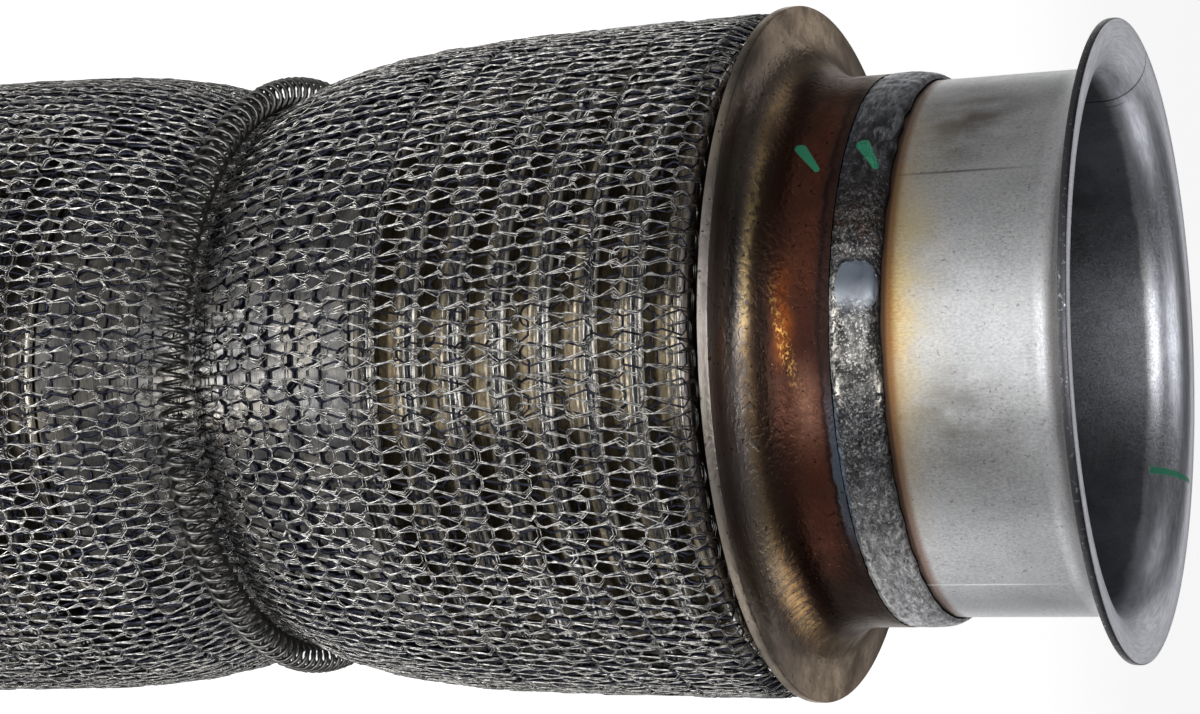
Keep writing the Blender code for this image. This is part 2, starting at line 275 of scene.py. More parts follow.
def satin_tube():
    """Satin stainless tube, rolled from pickled strip: a milky grey, frosted and clouded.

    It has smoky patches, one on the upper side deepened with painted shade, an amber edge and straw tint by
    the weld, a brushed flare and a dark cut edge. The mill grain, finer than a tenth of a millimetre, is
    drawn at
    0.4 mm so that it shows.
    """
    material, tree, shader = metal("satin_stainless_tube")
    spot, past_face, radius, degrees, unrolled = place_on_pipe(tree)
    colour = tinted("b8b9bb", "949599", cloud(spot, 11, (1, 1, 1.5), 5), share=0.6)
    colour = tinted(colour, "cdced2", cloud(spot, 6, (1, 1, 1.3), 6, 0.5, 0.66), share=0.3)
    colour = tinted(colour, "bcbec6", hump(degrees, -170, 75), share=0.6)
    grain = cloud(unrolled, 0.4, (2, 1, 1), 4, 0.42, 0.6)
    colour = tinted(colour, "f0eee8", grain, share=0.22)
    dark_grain = cloud(unrolled, 0.45, (1, 1, 1), 3, 0.55, 0.7)
    colour = tinted(colour, "4c4946", dark_grain, share=0.24)
    pits = cloud(unrolled, 0.8, (1, 1, 1), 2, 0.66, 0.72)
    colour = tinted(colour, "5f5c58", pits, share=0.5)
    scratches = cloud(unrolled, 0.8, (0.35, 5, 1), 2, 0.67, 0.7)
    colour = tinted(colour, "ecebe6", scratches, share=0.12)
    smoke_along = hump(past_face, 38, 17)
    drift = cloud(unrolled, 10, (1, 0.6, 1), 4, 0.25, 0.6)
    # Smoke tint on the upper side, deepened there as painted shade.
    colour = tinted(colour, "5b5249", hump(degrees, 36, 23), smoke_along, drift, share=0.85)
    colour = tinted(colour, "68665f", hump(degrees, 104, 19), smoke_along, drift, share=0.7)
    beside_weld = rising(past_face, 33.5, 26.5)
    streaks = cloud(unrolled, 5, (1.5, 1, 1), 2, 0.05, 0.5)
    colour = tinted(colour, "ac9159", beside_weld, hump(degrees, 80, 70), streaks, share=0.9)
    straw = overlap(hump(past_face, 31, 8.5), cloud(unrolled, 6, low=0.2))
    colour = tinted(colour, "c4b382", hump(degrees, 74, 52), straw, share=0.6)
    stain = cloud(unrolled, 5, (1, 1, 1), 2, 0.4, 0.6)
    colour = tinted(colour, "b98f50", beside_weld, hump(degrees, 88, 16), stain, share=0.55)
    colour = tinted(colour, "ecd59c", beside_weld, hump(degrees, 80, 26), grain, share=0.55)
    edge = rising(past_face, 30.2, 27.0)
    colour = tinted(colour, "8f6637", edge, hump(degrees, 84, 40), share=0.65)
    colour = tinted(colour, "70482a", rising(past_face, 28.7, 27.2), share=0.75)
    colour = tinted(colour, "3f322b", rising(past_face, 27.2, 26.4), share=0.9)
    along_lines = hump(past_face, 38, 18)
    colour = tinted(colour, "4d4843", hump(degrees, 52.5, 0.5), along_lines, share=0.75)
    colour = tinted(colour, "f2f2f4", hump(degrees, 146.4, 0.5), along_lines, share=0.9)
    before_lip = add(tree, "Math", {0: radius, 1: (PIPE_RADIUS + FLARE_BEND) / MM}, operation="SUBTRACT")
    before_lip = add(tree, "Math", {0: before_lip, 1: 0.0}, operation="MINIMUM")
    bend_start = (PIPE_END - FLARE_BEND - TUBE_WALL - COLLAR_FACE) / MM
    past_bend = add(tree, "Math", {0: past_face, 1: bend_start}, operation="SUBTRACT")
    past_bend = add(tree, "Math", {0: past_bend, 1: 0.0}, operation="MAXIMUM")
    from_bend = add(tree, "CombineXYZ", {"X": before_lip, "Y": past_bend})
    from_bend = add(tree, "VectorMath", {0: from_bend}, operation="LENGTH").outputs["Value"]
    inside = rising(from_bend, FLARE_BEND / MM + 0.6, FLARE_BEND / MM + 1.0)
    outside = rising(from_bend, FLARE_BEND / MM + 1.0, FLARE_BEND / MM + 0.6)
    rolled = rising(past_face, 50.5, 55.0)
    # Painted shade: the rolled back of the flare is a little darker grey, for the dark it reflects.
    colour = tinted(colour, "77777b", outside, rolled, share=0.3)
    waver = cloud(spot, 9, (1, 1, 1), 3, 0.2, 0.8)
    throat = add(tree, "Math", {0: waver, 1: 2.6, 2: past_face}, operation="MULTIPLY_ADD")
    bore = rising(throat, 54.2, 53.0)
    colour = tinted(colour, "62656f", inside, bore, share=0.55)
    blotches = cloud(spot, 5, (1, 1, 1), 5, 0.42, 0.66)
    colour = tinted(colour, "a9abb3", inside, bore, blotches, share=0.55)
    face = rising(past_face, 52.8, 55.0)
    colour = tinted(colour, "d6d8e2", inside, face, share=0.75)
    brushing = cloud(unrolled, 0.35, (20, 14, 1), 3, 0.4, 0.6)
    colour = tinted(colour, "808189", inside, face, brushing, share=0.35)
    cut_edge = rising(radius, LIP_RADIUS / MM - 0.3, LIP_RADIUS / MM - 0.1)
    pitting = cloud(spot, 0.7, (1, 1, 1), 4, 0.2, 0.4)
    colour = tinted(colour, "2f2f32", cut_edge, pitting, share=0.9)
    seam = hump(degrees, -20.5, 0.55)
    colour = tinted(colour, "1d1d20", seam, rising(past_face, 30.0, 45.0), inside, share=0.9)
    short_line = hump(degrees, -23.6, 0.4)
    colour = tinted(colour, "2c2c30", short_line, hump(past_face, 54, 3), inside, share=0.8)
    round_flare = add(tree, "Math", {0: degrees, 1: 0.98}, operation="MULTIPLY")
    paint = dab(radius, round_flare, (49.4, -119.3), (56.2, -118.4), 1.9)
    paint = overlap(paint, inside, rising(past_face, 53.2, 53.6))
    frost = cloud(spot, 0.35, (1, 1, 1), 3)
    rough = add(tree, "MapRange", {"Value": frost, "To Min": 0.3, "To Max": 0.46})
    dent = add(tree, "Bump", {"Strength": 0.07, "Distance": 0.06 * MM, "Height": frost})
    painted(shader, colour, rough, dent, paint)
    return material


def stub_pipe_outline():
    """Straight tube, a quarter bend outwards and a flat lip, then back down the inside; edges rounded."""
    mouth = FLARE_BEND + TUBE_WALL
    centre = (PIPE_RADIUS + FLARE_BEND, PIPE_END - mouth)
    back = arc(centre, FLARE_BEND, 180, 90, 12)
    lip = arc((LIP_RADIUS - EDGE_ROUND, PIPE_END - TUBE_WALL + EDGE_ROUND), EDGE_ROUND, -90, 0, 2)
    edge = arc((LIP_RADIUS - EDGE_ROUND, PIPE_END - EDGE_ROUND), EDGE_ROUND, 0, 90, 2)
    bore = arc(centre, mouth, 90, 180, 12)
    outside = [(PIPE_RADIUS, PIPE_START), (PIPE_RADIUS, PIPE_END - mouth - 5 * MM)]
    inside = [(PIPE_RADIUS - TUBE_WALL, PIPE_START)]
    return np.vstack([outside, back, lip, edge, bore, inside])


at_both_ends("flared_tube", turned(stub_pipe_outline()), satin_tube(), "stub_pipe")


# Collars
# Stainless sheet, pressed into a flat ring with a rounded bend and a neck drawn up over the stub pipe.
# Welding has coloured it dark brown and bronze.
LAND = 4.3 * MM
FILLET = 10.0 * MM
NECK_WALL = 1.6 * MM
NECK_END = COLLAR_FACE + 17.0 * MM
RIM_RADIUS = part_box("collar_upper")[1].x
NECK_RADIUS = RIM_RADIUS - LAND - FILLET


def tinted_sheet():
    """Stainless sheet, pressed, then tinted by welding's heat, with some painted light and shade at the
    front.

    The oxide film is near black where hottest, with amber and copper beside that, a gold line on the bend, a
    red-brown neck, and beige where it stayed cool. Course grows from the rim to the neck's end and is nought
    halfway round the bend, and bend is the same with a waver.
    """
    material, tree, shader = metal("heat_tinted_sheet")
    shader.inputs["Specular Tint"].default_value = linear("d8d3ce")
    spot, past_face, radius, degrees, unrolled = place_on_pipe(tree)
    down_to_neck = add(tree, "Math", {0: radius, 1: NECK_RADIUS / MM}, operation="SUBTRACT")
    course = add(tree, "Math", {0: past_face, 1: down_to_neck}, operation="SUBTRACT")
    along = add(tree, "MapRange", {"Value": course, "From Min": -16.0, "From Max": 18.0})
    stops = [(0.0, "6f6c67"), (0.05, "605a55"), (0.08, "57504c"), (0.2, "5c5350"), (0.33, "625754")]
    stops += [(0.45, "7a6954"), (0.55, "624d41"), (0.66, "53372d"), (0.85, "573226")]
    stops += [(0.97, "3d2f2b"), (1.0, "444b55")]
    colour = add(tree, "ValToRGB", {"Fac": along}, stops=stops)
    wander = cloud(spot, 6, (1, 1, 1), 3, 0.2, 0.8)
    bend = add(tree, "Math", {0: wander, 1: 1.8, 2: course}, operation="MULTIPLY_ADD")
    edges = {0: hump(degrees, 3, 42), 1: hump(degrees, 178, 40)}
    cool = add(tree, "Math", edges, operation="MAXIMUM")
    cool = add(tree, "Math", {0: cool, 1: hump(degrees, -90, 75)}, operation="MAXIMUM")
    plate = rising(bend, 4.5, -1.0)
    land = rising(bend, 2.5, -0.5)
    # Painted light: the land is lighter towards the front, for the light it reflects there.
    colour = tinted(colour, "c4bbb5", land, hump(degrees, 90, 42), share=0.85)
    colour = tinted(colour, "bba792", cool, plate, share=0.9)
    mottle = cloud(spot, 3.5, (1, 1, 1), 5, 0.42, 0.62)
    colour = tinted(colour, "5c4e43", cool, mottle, share=0.5)
    # Painted shade: the rim's edge is darker at the front, to damp the lamps' reflection there.
    rim_edge = overlap(rising(course, -13.9, -14.3), hump(degrees, 98, 30))
    colour = tinted(colour, "5a564e", rim_edge, share=0.8)
    brushed = cloud(unrolled, 0.5, (7, 1, 7), 3, 0.42, 0.62)
    swirl = hump(bend, -0.3, 6.5)
    colour = tinted(colour, "dcae72", swirl, hump(degrees, 146, 34), brushed, share=0.75)
    warm = {0: hump(degrees, 127, 24), 1: hump(degrees, 52, 18)}
    warm = add(tree, "Math", warm, operation="MAXIMUM")
    colour = tinted(colour, "a89a89", land, warm, share=0.55)
    # Painted shade: the land just before the bend is darker at the front, to damp the lamps' reflection.
    dark_land = hump(bend, -3.4, 3.2)
    colour = tinted(colour, "211b18", dark_land, hump(degrees, 76, 36), share=0.85)
    flecks = cloud(unrolled, 0.9, (1, 1.4, 1), 4, 0.38, 0.54)
    bronze = overlap(hump(bend, 0.5, 3.0), hump(degrees, 80, 95))
    colour = tinted(colour, "b58d5a", bronze, flecks, share=0.6)
    gold = overlap(hump(bend, 0.5, 2.1), hump(degrees, 71, 23))
    colour = tinted(colour, "ffe0a0", gold, flecks, share=0.95)
    gap_in_gold = overlap(hump(bend, 0.3, 3.4), hump(degrees, 99, 13))
    colour = tinted(colour, "3a2c22", gap_in_gold, share=0.7)
    flame = cloud(unrolled, 2.6, (1, 1.8, 1), 5, 0.2, 0.55)
    neck = rising(course, 4.0, 7.0)
    # Darker on the two sides that face along X, over the bend and the neck, and darkest on the neck's side
    # towards +X.
    around = add(tree, "Math", {0: degrees}, operation="ABSOLUTE")
    sooty = {0: rising(around, 120, 146), 1: rising(around, 34, 12)}
    sooty = add(tree, "Math", sooty, operation="MAXIMUM")
    bent = rising(course, 2.2, 4.6)
    colour = tinted(colour, "2b1a16", bent, sooty, share=0.6)
    underside = overlap(rising(course, 4.4, 7.0), rising(degrees, 122, 150))
    colour = tinted(colour, "170e0c", underside, share=0.9)
    # Painted shade: the neck is darker at the front, to damp the front lamps' highlight there.
    colour = tinted(colour, "150f0e", neck, hump(degrees, 87, 20), share=0.65)
    colour = tinted(colour, "5c3a2e", neck, hump(degrees, 62, 16), share=0.5)
    hottest = overlap(hump(bend, 5.5, 4.0), hump(degrees, 91, 32))
    colour = tinted(colour, "120d0c", hottest, share=0.82)
    amber = overlap(hump(course, 8.5, 3.4), hump(degrees, 82, 13), flame)
    colour = tinted(colour, "8a4a20", amber, share=0.95)
    embers = cloud(unrolled, 1.1, (1, 2, 1), 4, 0.45, 0.6)
    colour = tinted(colour, "4a2412", amber, embers, share=0.7)
    sparks = cloud(unrolled, 0.45, (1, 1.6, 1), 3, 0.5, 0.62)
    leaning = add(tree, "Math", {0: degrees, 1: -0.24, 2: course}, operation="MULTIPLY_ADD")
    fringe = overlap(hump(leaning, -12.2, 1.9), hump(degrees, 87, 14), sparks)
    colour = tinted(colour, "dcb060", fringe, share=0.7)
    copper = hump(course, 12.2, 4.8)
    colour = tinted(colour, "8d6655", copper, hump(degrees, 101, 13), flame, share=0.75)
    edge_waver = cloud(unrolled, 3, (1, 1, 1), 2, 0.2, 0.8)
    toe = add(tree, "Math", {0: edge_waver, 1: 1.1, 2: course}, operation="MULTIPLY_ADD")
    colour = tinted(colour, "171416", hump(toe, 15.9, 0.8), share=0.6)
    dark_toe = overlap(rising(toe, 14.4, 15.8), hump(degrees, 60, 26))
    colour = tinted(colour, "1b1c22", dark_toe, share=0.4)
    blue_toe = overlap(rising(toe, 16.0, 16.5), hump(degrees, 114, 24))
    colour = tinted(colour, "56606c", blue_toe, share=0.9)
    smoke = cloud(unrolled, 7, (1, 1.6, 1), 4, 0.42, 0.68)
    colour = tinted(colour, "221b1b", smoke, share=0.5)
    pits = cloud(unrolled, 0.9, (1, 1, 1), 2, 0.66, 0.72)
    colour = tinted(colour, "141112", pits, share=0.8)
    glints = cloud(unrolled, 0.5, (1, 1, 1), 2, 0.74, 0.78)
    colour = tinted(colour, "a8977c", glints, share=0.6)
    round_neck = add(tree, "Math", {0: degrees, 1: NECK_RADIUS / MM * math.pi / 180}, operation="MULTIPLY")
    paint = overlap(dab(past_face, round_neck, (8.7, 42.0), (12.6, 47.4), 2.2), neck)
    rough = add(tree, "MapRange", {"Value": smoke, "To Min": 0.3, "To Max": 0.46})
    dent = add(tree, "Bump", {"Strength": 0.3, "Distance": 0.12 * MM, "Height": flecks})
    painted(shader, colour, rough, dent, paint)
    return material


def collar_outline():
    """Round the rim, in along the face and up the bend to the neck's end, then back down the bore and out."""
    centre = (NECK_RADIUS + FILLET, COLLAR_FACE + FILLET)
    face = arc(centre, FILLET, 270, 180, 16)
    lower_edge = arc((RIM_RADIUS - EDGE_ROUND, COLLAR_BACK + EDGE_ROUND), EDGE_ROUND, -90, 0, 2)
    upper_edge = arc((RIM_RADIUS - EDGE_ROUND, COLLAR_FACE - EDGE_ROUND), EDGE_ROUND, 0, 90, 2)
    bore = [(NECK_RADIUS, NECK_END), (NECK_RADIUS - NECK_WALL, NECK_END)]
    turns = np.radians(np.linspace(180, 270, 9))
    across, along = FILLET + NECK_WALL, FILLET + SHEET
    back = np.stack([centre[0] + across * np.cos(turns), centre[1] + along * np.sin(turns)], axis=1)
    return np.vstack([lower_edge, upper_edge, face, bore, back])


at_both_ends("pressed_collar", turned(collar_outline()), tinted_sheet(), "collar")


# Lap welds
# One run of stainless filler from the neck's end down to the stub pipe, which goes once round and ends in a
# pool. It is scaly and dark, with bright spatter along its toes.
WELD_WIDTH = 9.0 * MM
WELD_HEIGHT = 2.1 * MM
WELD_FOOT = NECK_END + 0.05 * MM
WELD_SIDES = 480
WELD_GAP = 0.3 * MM
RIPPLES_ROUND = 96
POOL_DEGREES = 77.0


def smooth_noise(count, waves, seed):
    """A closed row of values from about -1 to 1: random sine waves that go round a whole number of times."""
    chance = np.random.default_rng(seed)
    turns = np.arange(count) * 2 * np.pi / count
    sizes = chance.normal(size=waves) / np.sqrt(waves)
    shifts = chance.uniform(0, 2 * np.pi, waves)
    return (sizes[:, None] * np.sin(np.arange(1, waves + 1)[:, None] * turns + shifts[:, None])).sum(0)


def weld_grid():
    """The bead's section, upright at the neck and then a low arch, carried round the pipe with a waver.

    Its height rises and falls as a sine for each ripple, and the ripples die away in the pool.
    """
    inner = PIPE_RADIUS + WELD_GAP
    arch = np.linspace(0, np.pi, 12)
    width = WELD_WIDTH * (0.985 + 0.015 * smooth_noise(WELD_SIDES, 60, 3))
    turns = np.arange(WELD_SIDES) * 2 * np.pi / WELD_SIDES
    round_it = np.degrees(np.abs(turns - np.pi))
    past_pool = 1 - np.exp(-(((round_it - POOL_DEGREES - 1) / 8) ** 4))
    ripple = 0.1 * past_pool * np.sin(RIPPLES_ROUND * turns + smooth_noise(WELD_SIDES, 9, 4))
    height = (WELD_HEIGHT - WELD_GAP) * (0.9 + 0.05 * smooth_noise(WELD_SIDES, 40, 5) + 0.4 * ripple)
    share = (1 - np.cos(arch)) / 2
    rise = np.where(arch < np.pi / 2, 0.84 + 0.16 * np.sin(arch), np.sin(arch) ** 0.75)
    rise[0] = 0
    lean = 0.35 * MM * np.sin(arch)
    h = np.maximum(WELD_FOOT + share[:, None] * width - lean[:, None], WELD_FOOT)
    r = inner + rise[:, None] * height
    return np.stack([r * np.cos(turns), r * np.sin(turns), h], axis=2)


def weld_metal():
    """Stainless weld metal, left as it froze: charcoal scale that turns silver, grainy and rippled.

    Spatter lies along its toes, and the pool where the run ends is smooth and blue-grey. The bands of
    charcoal and silver round the pipe are partly painted light and shade.
    """
    material, tree, shader = metal("scaly_weld_metal")
    _, past_face, _, degrees, unrolled = place_on_pipe(tree)
    # Painted light and shade in part: the colour goes in bands by angle round the pipe, lightest on the sides
    # that face along X and dark between.
    around = add(tree, "Math", {0: degrees}, operation="ABSOLUTE")
    down = add(tree, "MapRange", {"Value": around, "From Min": 0.0, "From Max": 180.0})
    stops = [(0.0, "dcdde3"), (0.12, "a9abb1"), (0.22, "55565b"), (0.36, "4f4a48"), (0.43, "8c8c8f")]
    stops += [(0.5, "a09e99"), (0.56, "4f5053"), (0.66, "7b7b7d"), (0.77, "d4d3d6"), (1.0, "e6e6ec")]
    colour = add(tree, "ValToRGB", {"Fac": down}, stops=stops)
    middle = WELD_FOOT / MM - COLLAR_FACE / MM + WELD_WIDTH / MM / 2
    ripples = cloud(unrolled, 1.0, (1, 2.2, 1), 4, 0.38, 0.62)
    colour = tinted(colour, "201f23", ripples, share=0.62)
    patches = cloud(unrolled, 3.4, (1, 1, 1), 5, 0.44, 0.6)
    colour = tinted(colour, "242326", patches, hump(degrees, 88, 90), share=0.75)
    grains = cloud(unrolled, 0.42, (1, 1, 1), 3, 0.54, 0.63)
    colour = tinted(colour, "c9c8c6", grains, rising(around, 95, 135), share=0.5)
    colour = tinted(colour, "e0ddd5", grains, hump(degrees, 84, 32), share=0.6)
    toes = add(tree, "Math", {0: past_face, 1: middle}, operation="SUBTRACT")
    toes = add(tree, "Math", {0: toes}, operation="ABSOLUTE")
    toes = hump(toes, 3.7, 1.1)
    crumbs = cloud(unrolled, 0.9, (1, 1.2, 1), 4, 0.495, 0.525)
    near_neck = rising(past_face, middle + 1.0, middle - 1.0)
    colour = tinted(colour, "fffaee", crumbs, toes, near_neck, hump(degrees, 84, 13))
    colour = tinted(colour, "fffaee", crumbs, toes, hump(degrees, 97, 5))
    colour = tinted(colour, "e4e3e0", crumbs, toes, hump(around, 140, 24), share=0.9)
    creases = cloud(unrolled, 1.6, (1, 2.4, 1), 3, 0.52, 0.6)
    colour = tinted(colour, "a9abb1", creases, hump(degrees, 36, 24), share=0.5)
    rust = cloud(unrolled, 1.4, (1, 1, 1), 3, 0.55, 0.65)
    colour = tinted(colour, "4a3020", rust, hump(degrees, 64, 12), share=0.7)
    toe_line = rising(past_face, middle - 3.6, middle - 4.1)
    colour = tinted(colour, "232428", toe_line, share=0.45)
    colour = tinted(colour, "66717f", toe_line, hump(degrees, 114, 24), share=0.85)
    colour = tinted(colour, "66717f", toe_line, hump(degrees, 34, 26), share=0.7)
    far_toe = rising(past_face, middle + 3.9, middle + 4.3)
    colour = tinted(colour, "37322f", far_toe, share=0.35)
    far_side = rising(past_face, middle + 1.6, middle + 3.4)
    colour = tinted(colour, "2a2728", far_side, hump(degrees, 82, 24), share=0.75)
    across = add(tree, "Math", {0: past_face, 1: middle + 0.3}, operation="SUBTRACT")
    across = add(tree, "Math", {0: across, 1: 3.9}, operation="DIVIDE")
    beyond = add(tree, "Math", {0: degrees, 1: POOL_DEGREES}, operation="SUBTRACT")
    ragged = cloud(unrolled, 3, (1, 1, 1), 2, 0.3, 0.7)
    beyond = add(tree, "Math", {0: ragged, 1: -1.0, 2: beyond}, operation="MULTIPLY_ADD")
    beyond = add(tree, "Math", {0: beyond, 1: 5.4}, operation="DIVIDE")
    sides = []
    for measure in (across, beyond):
        size = add(tree, "Math", {0: measure}, operation="ABSOLUTE")
        sides.append(add(tree, "Math", {0: size, 1: 2.5}, operation="POWER"))
    from_pool = add(tree, "Math", {0: sides[0], 1: sides[1]}, operation="ADD")
    pool_rim = overlap(hump(from_pool, 1.1, 0.7), hump(degrees, 71, 6))
    colour = tinted(colour, "1d1e22", pool_rim, share=0.8)
    tail = overlap(hump(degrees, 87, 10), hump(past_face, middle + 0.4, 3.6))
    colour = tinted(colour, "e9eaec", tail, grains, share=0.7)
    pool = overlap(rising(from_pool, 1.02, 0.85), rising(degrees, 84.0, 78.0))
    pool_colour = tinted("6a727d", "8d929a", rising(degrees, 75.0, 80.0))
    colour = tinted(colour, pool_colour, pool, share=0.95)
    round_weld = add(tree, "Math", {0: degrees, 1: 0.92}, operation="MULTIPLY")
    paint = dab(past_face, round_weld, (20.2, 41.8), (23.4, 47.4), 2.5)
    rough_skin = add(tree, "Math", {0: 1.0, 1: pool}, operation="SUBTRACT")
    lumps = overlap(cloud(unrolled, 0.8, (1, 1.6, 1), 5), rough_skin)
    lumps = add(tree, "Math", {0: pool, 1: 0.6, 2: lumps}, operation="MULTIPLY_ADD")
    rough = add(tree, "MapRange", {"Value": patches, "To Min": 0.34, "To Max": 0.5})
    dent = add(tree, "Bump", {"Strength": 0.8, "Distance": 0.3 * MM, "Height": lumps})
    painted(shader, colour, rough, dent, paint)
    return material


at_both_ends("lap_weld", weld_grid(), weld_metal(), "weld_bead")


# Bellows
# Thin stainless tube formed into eight deep convolutions, with a plain cuff at each end, over the stub pipe
# and in the middle tube. Left bright, and slightly straw from annealing.
CONVOLUTIONS = 8
PITCH = 8.84 * MM
STRIP = 0.35 * MM
CREST_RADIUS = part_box("bellows_upper")[1].x
CUFF_RADIUS = PIPE_RADIUS + 1.0 * MM
STUB_CUFF = 6.6 * MM
TUBE_CUFF = 10 * MM
BELLOWS_TOP = COLLAR_FACE - 2.7 * MM
BELLOWS_FOOT = BELLOWS_TOP - CONVOLUTIONS * PITCH
BELLOWS_SIDES = 72


def bright_strip():
    """Bright-annealed stainless strip, formed by rolls: straw-grey and glossy, with fine rings round it."""
    material, tree, shader = metal("bright_formed_strip")
    spot, _, radius, _, unrolled = place_on_pipe(tree)
    # Painted light and shade: the colour goes by depth, near white on the crests as a painted highlight and
    # darkest on the flanks as painted shade.
    depth = {"Value": radius, "From Min": CUFF_RADIUS / MM, "From Max": CREST_RADIUS / MM}
    height = add(tree, "MapRange", depth)
    stops = [(0.0, "d6cfc2"), (0.5, "a8a296"), (0.8, "cfccc5"), (1.0, "f8f7f5")]
    colour = add(tree, "ValToRGB", {"Fac": height}, stops=stops)
    colour = tinted(colour, "5a554c", cloud(spot, 12), share=0.3)
    rings = cloud(unrolled, 0.4, (1, 30, 1), 2)
    rough = add(tree, "MapRange", {"Value": rings, "To Min": 0.1, "To Max": 0.18})
    painted(shader, colour, rough)
    return material


def bellows_outline():
    """Radius follows a cosine along the pipe, squared off towards U shapes, then back inside by the wall."""
    phase = np.linspace(0, 2 * np.pi * CONVOLUTIONS, 10 * CONVOLUTIONS + 1)
    wave = -np.cos(phase)
    wave = np.sign(wave) * np.abs(wave) ** 0.6
    height = BELLOWS_TOP - PITCH * phase / (2 * np.pi)
    depth = CREST_RADIUS - STRIP - CUFF_RADIUS
    radius = CUFF_RADIUS + STRIP + depth * (1 + wave) / 2
    stub_end = [CUFF_RADIUS + STRIP, BELLOWS_TOP + STUB_CUFF]
    tube_end = [CUFF_RADIUS + STRIP, BELLOWS_FOOT - TUBE_CUFF]
    outer = np.vstack([stub_end, np.stack([radius, height], axis=1), tube_end])
    inner = outer - (STRIP, 0)
    return np.vstack([outer[::-1], inner])


at_both_ends("formed_bellows", turned(bellows_outline(), BELLOWS_SIDES), bright_strip(), "bellows")


# Middle tube
# Plain stainless tube over the inner cuffs of both bellows, joined to each by a small fillet weld. Smoky, and
# painted darker as the shade inside the sleeve; seen through the knit on both sides of the spring.
TUBE_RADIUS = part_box("middle_tube")[1].x
TUBE_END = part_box("middle_tube")[1].z - MIDDLE
TUBE_WELD_LEG = 1.501 * MM
PLAIN_SIDES = 96


def middle_tube_outline():
    """A straight tube whose cut edges are rounded."""
    upper = arc((TUBE_RADIUS - 2 * EDGE_ROUND, TUBE_END - 2 * EDGE_ROUND), 2 * EDGE_ROUND, 0, 90, 3)
    lower = arc((TUBE_RADIUS - 2 * EDGE_ROUND, 2 * EDGE_ROUND - TUBE_END), 2 * EDGE_ROUND, -90, 0, 3)
    bore = [(TUBE_RADIUS - TUBE_WALL, TUBE_END), (TUBE_RADIUS - TUBE_WALL, -TUBE_END)]
    return np.vstack([lower, upper, bore])


def smoky_tube():
    """Ground stainless tube: smoky grey, darkened as painted shade, with a straw cast and fine marks round
    it.
    """
    material, tree, shader = metal("ground_middle_tube")
    spot, _, _, _, unrolled = place_on_pipe(tree)
    colour = tinted("807f7e", "38383c", cloud(spot, 7, (1, 1, 1), 4), share=0.7)
    colour = tinted(colour, "a09a8e", cloud(spot, 11, (1, 1, 1), 3, 0.45, 0.6), share=0.5)
    marks = cloud(unrolled, 0.5, (1, 20, 1), 3)
    rough = add(tree, "MapRange", {"Value": marks, "To Min": 0.2, "To Max": 0.34})
    painted(shader, colour, rough)
    return material


ground = smoky_tube()
tube_grid = turned(middle_tube_outline(), PLAIN_SIDES) + (0, 0, MIDDLE)
piece("plain_tube", tube_grid, ground, ["middle_tube"])


def tube_weld_outline():
    """A quarter-round fillet in the corner between the tube's end and the cuff."""
    foot = TUBE_END + WELD_GAP
    curve = arc((TUBE_RADIUS - TUBE_WALL, foot), TUBE_WELD_LEG, 0, 90, 5)
    return np.vstack([[TUBE_RADIUS - TUBE_WALL, foot], curve])


at_both_ends("fillet_weld", turned(tube_weld_outline(), PLAIN_SIDES), ground, "tube_weld")


# Flow liners
# Plain stainless sleeves that keep the gas off the bellows. Each is fixed in its stub pipe and free at its
# other end.
LINER_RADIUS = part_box("flow_liner_upper")[1].x
LINER_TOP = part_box("flow_liner_upper")[1].z - MIDDLE
LINER_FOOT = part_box("flow_liner_upper")[0].z - MIDDLE
LINER_WALL = 0.8 * MM


def dull_tube():
    """Satin stainless tube, dulled by soot: slate grey with paler blotches and dark spots."""
    material, tree, shader = metal("dull_liner_tube")
    spot = add(tree, "TexCoord").outputs["Object"]
    colour = tinted("6f7077", "45464c", cloud(spot, 9), share=0.7)
    colour = tinted(colour, "8d8e94", cloud(spot, 3, (1, 1, 1), 5, 0.5, 0.7), share=0.4)
    colour = tinted(colour, "26262a", cloud(spot, 1.4, (1, 1, 1), 2, 0.64, 0.7), share=0.6)
    rough = add(tree, "MapRange", {"Value": cloud(spot, 2), "To Min": 0.36, "To Max": 0.5})
    painted(shader, colour, rough)
    return material


def liner_outline():
    """A plain wall: up the outside and back down the bore."""
    outside = [(LINER_RADIUS, LINER_FOOT), (LINER_RADIUS, LINER_TOP)]
    bore = LINER_RADIUS - LINER_WALL
    return np.array(outside + [(bore, LINER_TOP), (bore, LINER_FOOT)])


at_both_ends("liner_tube", turned(liner_outline(), PLAIN_SIDES), dull_tube(), "flow_liner")


# Knitted sleeve
# Two layers of jersey knit in bundles of fine stainless wire, tucked in behind the collars and drawn in at
# the waist by the spring. Three wires, thicker than the real ones, stand for each bundle.
WALES = 80
STITCH = 4.84 * MM
LOOP_REACH = 3.05 * MM
LOOP_SINK = 0.14 * MM
LOOP_DEPTH = 0.85 * MM
WIRE = 0.25 * MM
WIRE_SPACING = 0.45 * MM
WIRE_SIDES = 3
INNER_WALES = 64
INNER_STITCH = 6.1 * MM
INNER_REACH = 3.9 * MM
INNER_SINK = 1.15 * MM
INNER_DEPTH = 0.5 * MM
PAST_SPRING = 5.0
CROWD_CENTRE = 22.0
CROWD_REACH = 11.0
SLEEVE_RADIUS = 66.3 * MM
WAIST_RADIUS = 55.95 * MM
WAIST_SEAT = 3.55 * MM
WAIST_FADE = 17.7 * MM
SHOULDER = 5.6 * MM
SHOULDER_HEIGHT = COLLAR_BACK - 0.3 * MM - SHOULDER


